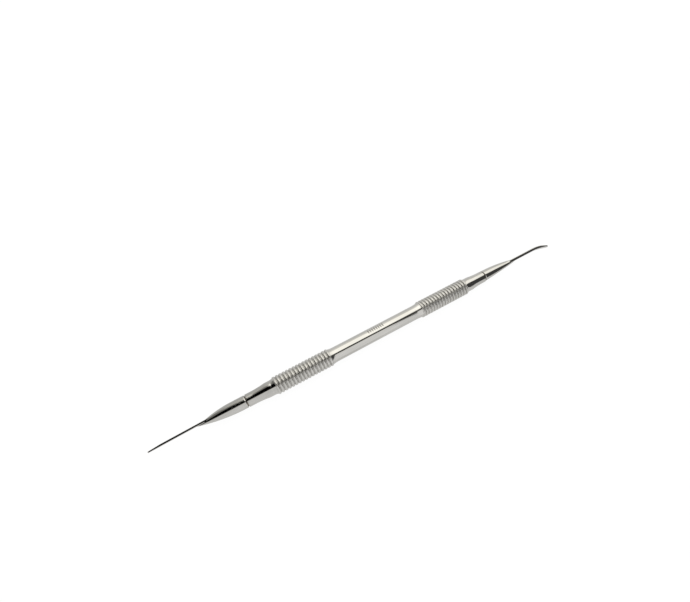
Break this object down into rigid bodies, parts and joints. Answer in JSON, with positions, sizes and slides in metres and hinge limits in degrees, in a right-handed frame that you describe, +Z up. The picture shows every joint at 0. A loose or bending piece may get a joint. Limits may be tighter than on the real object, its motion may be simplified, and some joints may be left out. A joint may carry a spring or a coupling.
{
  "type": "cuticle pusher",
  "caption": "Slim double-ended polished steel hand tool: smooth barrel, ringed grips, ogive noses, one straight blade and one bent spade blade.",
  "frame": {"origin": "middle of the tool's length, on the axis of the handle", "axes": "+X along the handle towards the bent blade, +Z up in the plane of the straight blade's flat, -Y the way the bent blade's tip turns"},
  "size_m": [0.15, 0.0056, 0.0056],
  "materials": {
    "handle_steel": "polished",
    "blade_steel": "polished",
    "braze_filler": "satin"
  },
  "bodies": {
    "root": {"handle": "handle_steel", "straight_working_end": "blade_steel", "bent_working_end": "blade_steel", "straight_end_braze_ring": "braze_filler", "bent_end_braze_ring": "braze_filler"}
  },
  "joints": []
}
